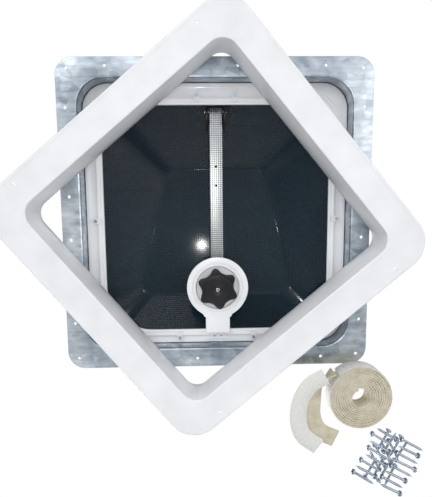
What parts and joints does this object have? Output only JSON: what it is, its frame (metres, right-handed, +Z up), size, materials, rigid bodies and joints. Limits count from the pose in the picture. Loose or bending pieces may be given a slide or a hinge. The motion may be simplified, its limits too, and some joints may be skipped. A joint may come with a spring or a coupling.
{
  "type": "roof vent cover",
  "caption": "Hand-cranked roof vent with a hinged smoke dome lid, insect screen, galvanised roof flange, loose interior trim ring, sealing tape and screws.",
  "frame": {"origin": "centre of the flange underside, on the plane that lies on the roof, at the centre of the corner screw holes", "axes": "+Z up out of the roof, +Y towards the lid hinge, +X to the right seen from above with the hinge at the back"},
  "size_m": [0.6046, 0.6963, 0.1544],
  "materials": {
    "galvanised_steel": "spangled zinc coating, satin",
    "white_abs": "fine moulded satin",
    "screen_mesh": "black coated glass-fibre mesh",
    "black_rubber": "matt",
    "clip_plastic": "moulded",
    "zinc_screw": "bright blue-white zinc",
    "case_nylon": "glass-filled nylon",
    "worm_acetal": "moulded acetal",
    "steel_pin": "ground",
    "knob_black": "moulded, slight sheen",
    "arm_aluminium": "satin extruded",
    "smoke_lid": "gloss smoke-tinted polycarbonate",
    "gasket_foam": "closed-cell foam",
    "sealing_putty": "soft ribbed sealing tape",
    "liner_paper": "silicone-coated paper"
  },
  "bodies": {
    "trim_kit": {"garnish_ring": "white_abs", "sealing_tape_roll": "sealing_putty", "sealing_tape_tail": "sealing_putty", "release_paper": "liner_paper", "mounting_screws": "zinc_screw"},
    "vent": {"roof_flange": "galvanised_steel", "inner_frame": "white_abs", "frame_rivets": "zinc_screw", "screen_frame": "white_abs", "insect_screen": "screen_mesh", "screen_spline": "black_rubber", "screen_clips": "clip_plastic", "clip_screws": "zinc_screw", "operator_housing": "white_abs", "gear_case": "case_nylon", "gear_cover": "case_nylon", "case_screws": "zinc_screw", "worm_bush": "worm_acetal", "hinge_base": "arm_aluminium", "hinge_pin": "steel_pin", "hinge_rivets": "zinc_screw"},
    "crank": {"worm_screw": "worm_acetal", "worm_shaft": "steel_pin", "knob": "knob_black", "knob_screw": "zinc_screw"},
    "arm": {"gear_sector": "worm_acetal", "arm_shaft": "steel_pin", "lift_arm": "arm_aluminium", "slide_pin": "steel_pin", "slide_bushes": "case_nylon"},
    "lid": {"lid_bracket": "zinc_screw", "bracket_rivets": "zinc_screw", "dome_lid": "smoke_lid", "lid_gasket": "gasket_foam", "hinge_leaf": "arm_aluminium", "leaf_rivets": "zinc_screw"}
  },
  "joints": [
    {"name": "vent_turn", "type": "hinge", "parent": "trim_kit", "child": "vent", "pos_m": [0.0124, -0.0119, 0], "axis": [0, 0, 1], "range_deg": [-45, 45]},
    {"name": "lid_hinge", "type": "hinge", "parent": "vent", "child": "lid", "pos_m": [0, 0.209, 0.047], "axis": [-1, 0, 0], "range_deg": [0, 40]},
    {"name": "arm_lift", "type": "hinge", "parent": "vent", "child": "arm", "pos_m": [0, -0.074, 0.044], "axis": [1, 0, 0], "range_deg": [0, 7.8]},
    {"name": "knob_turn", "type": "hinge", "parent": "vent", "child": "crank", "pos_m": [0, -0.106, 0.009], "axis": [0, 0, 1], "range_deg": [0, 310]}
  ],
  "couplings": [
    {"joint": "arm_lift", "follows": "lid_hinge", "ratio": 0.1925},
    {"joint": "knob_turn", "follows": "lid_hinge", "ratio": 7.7}
  ]
}
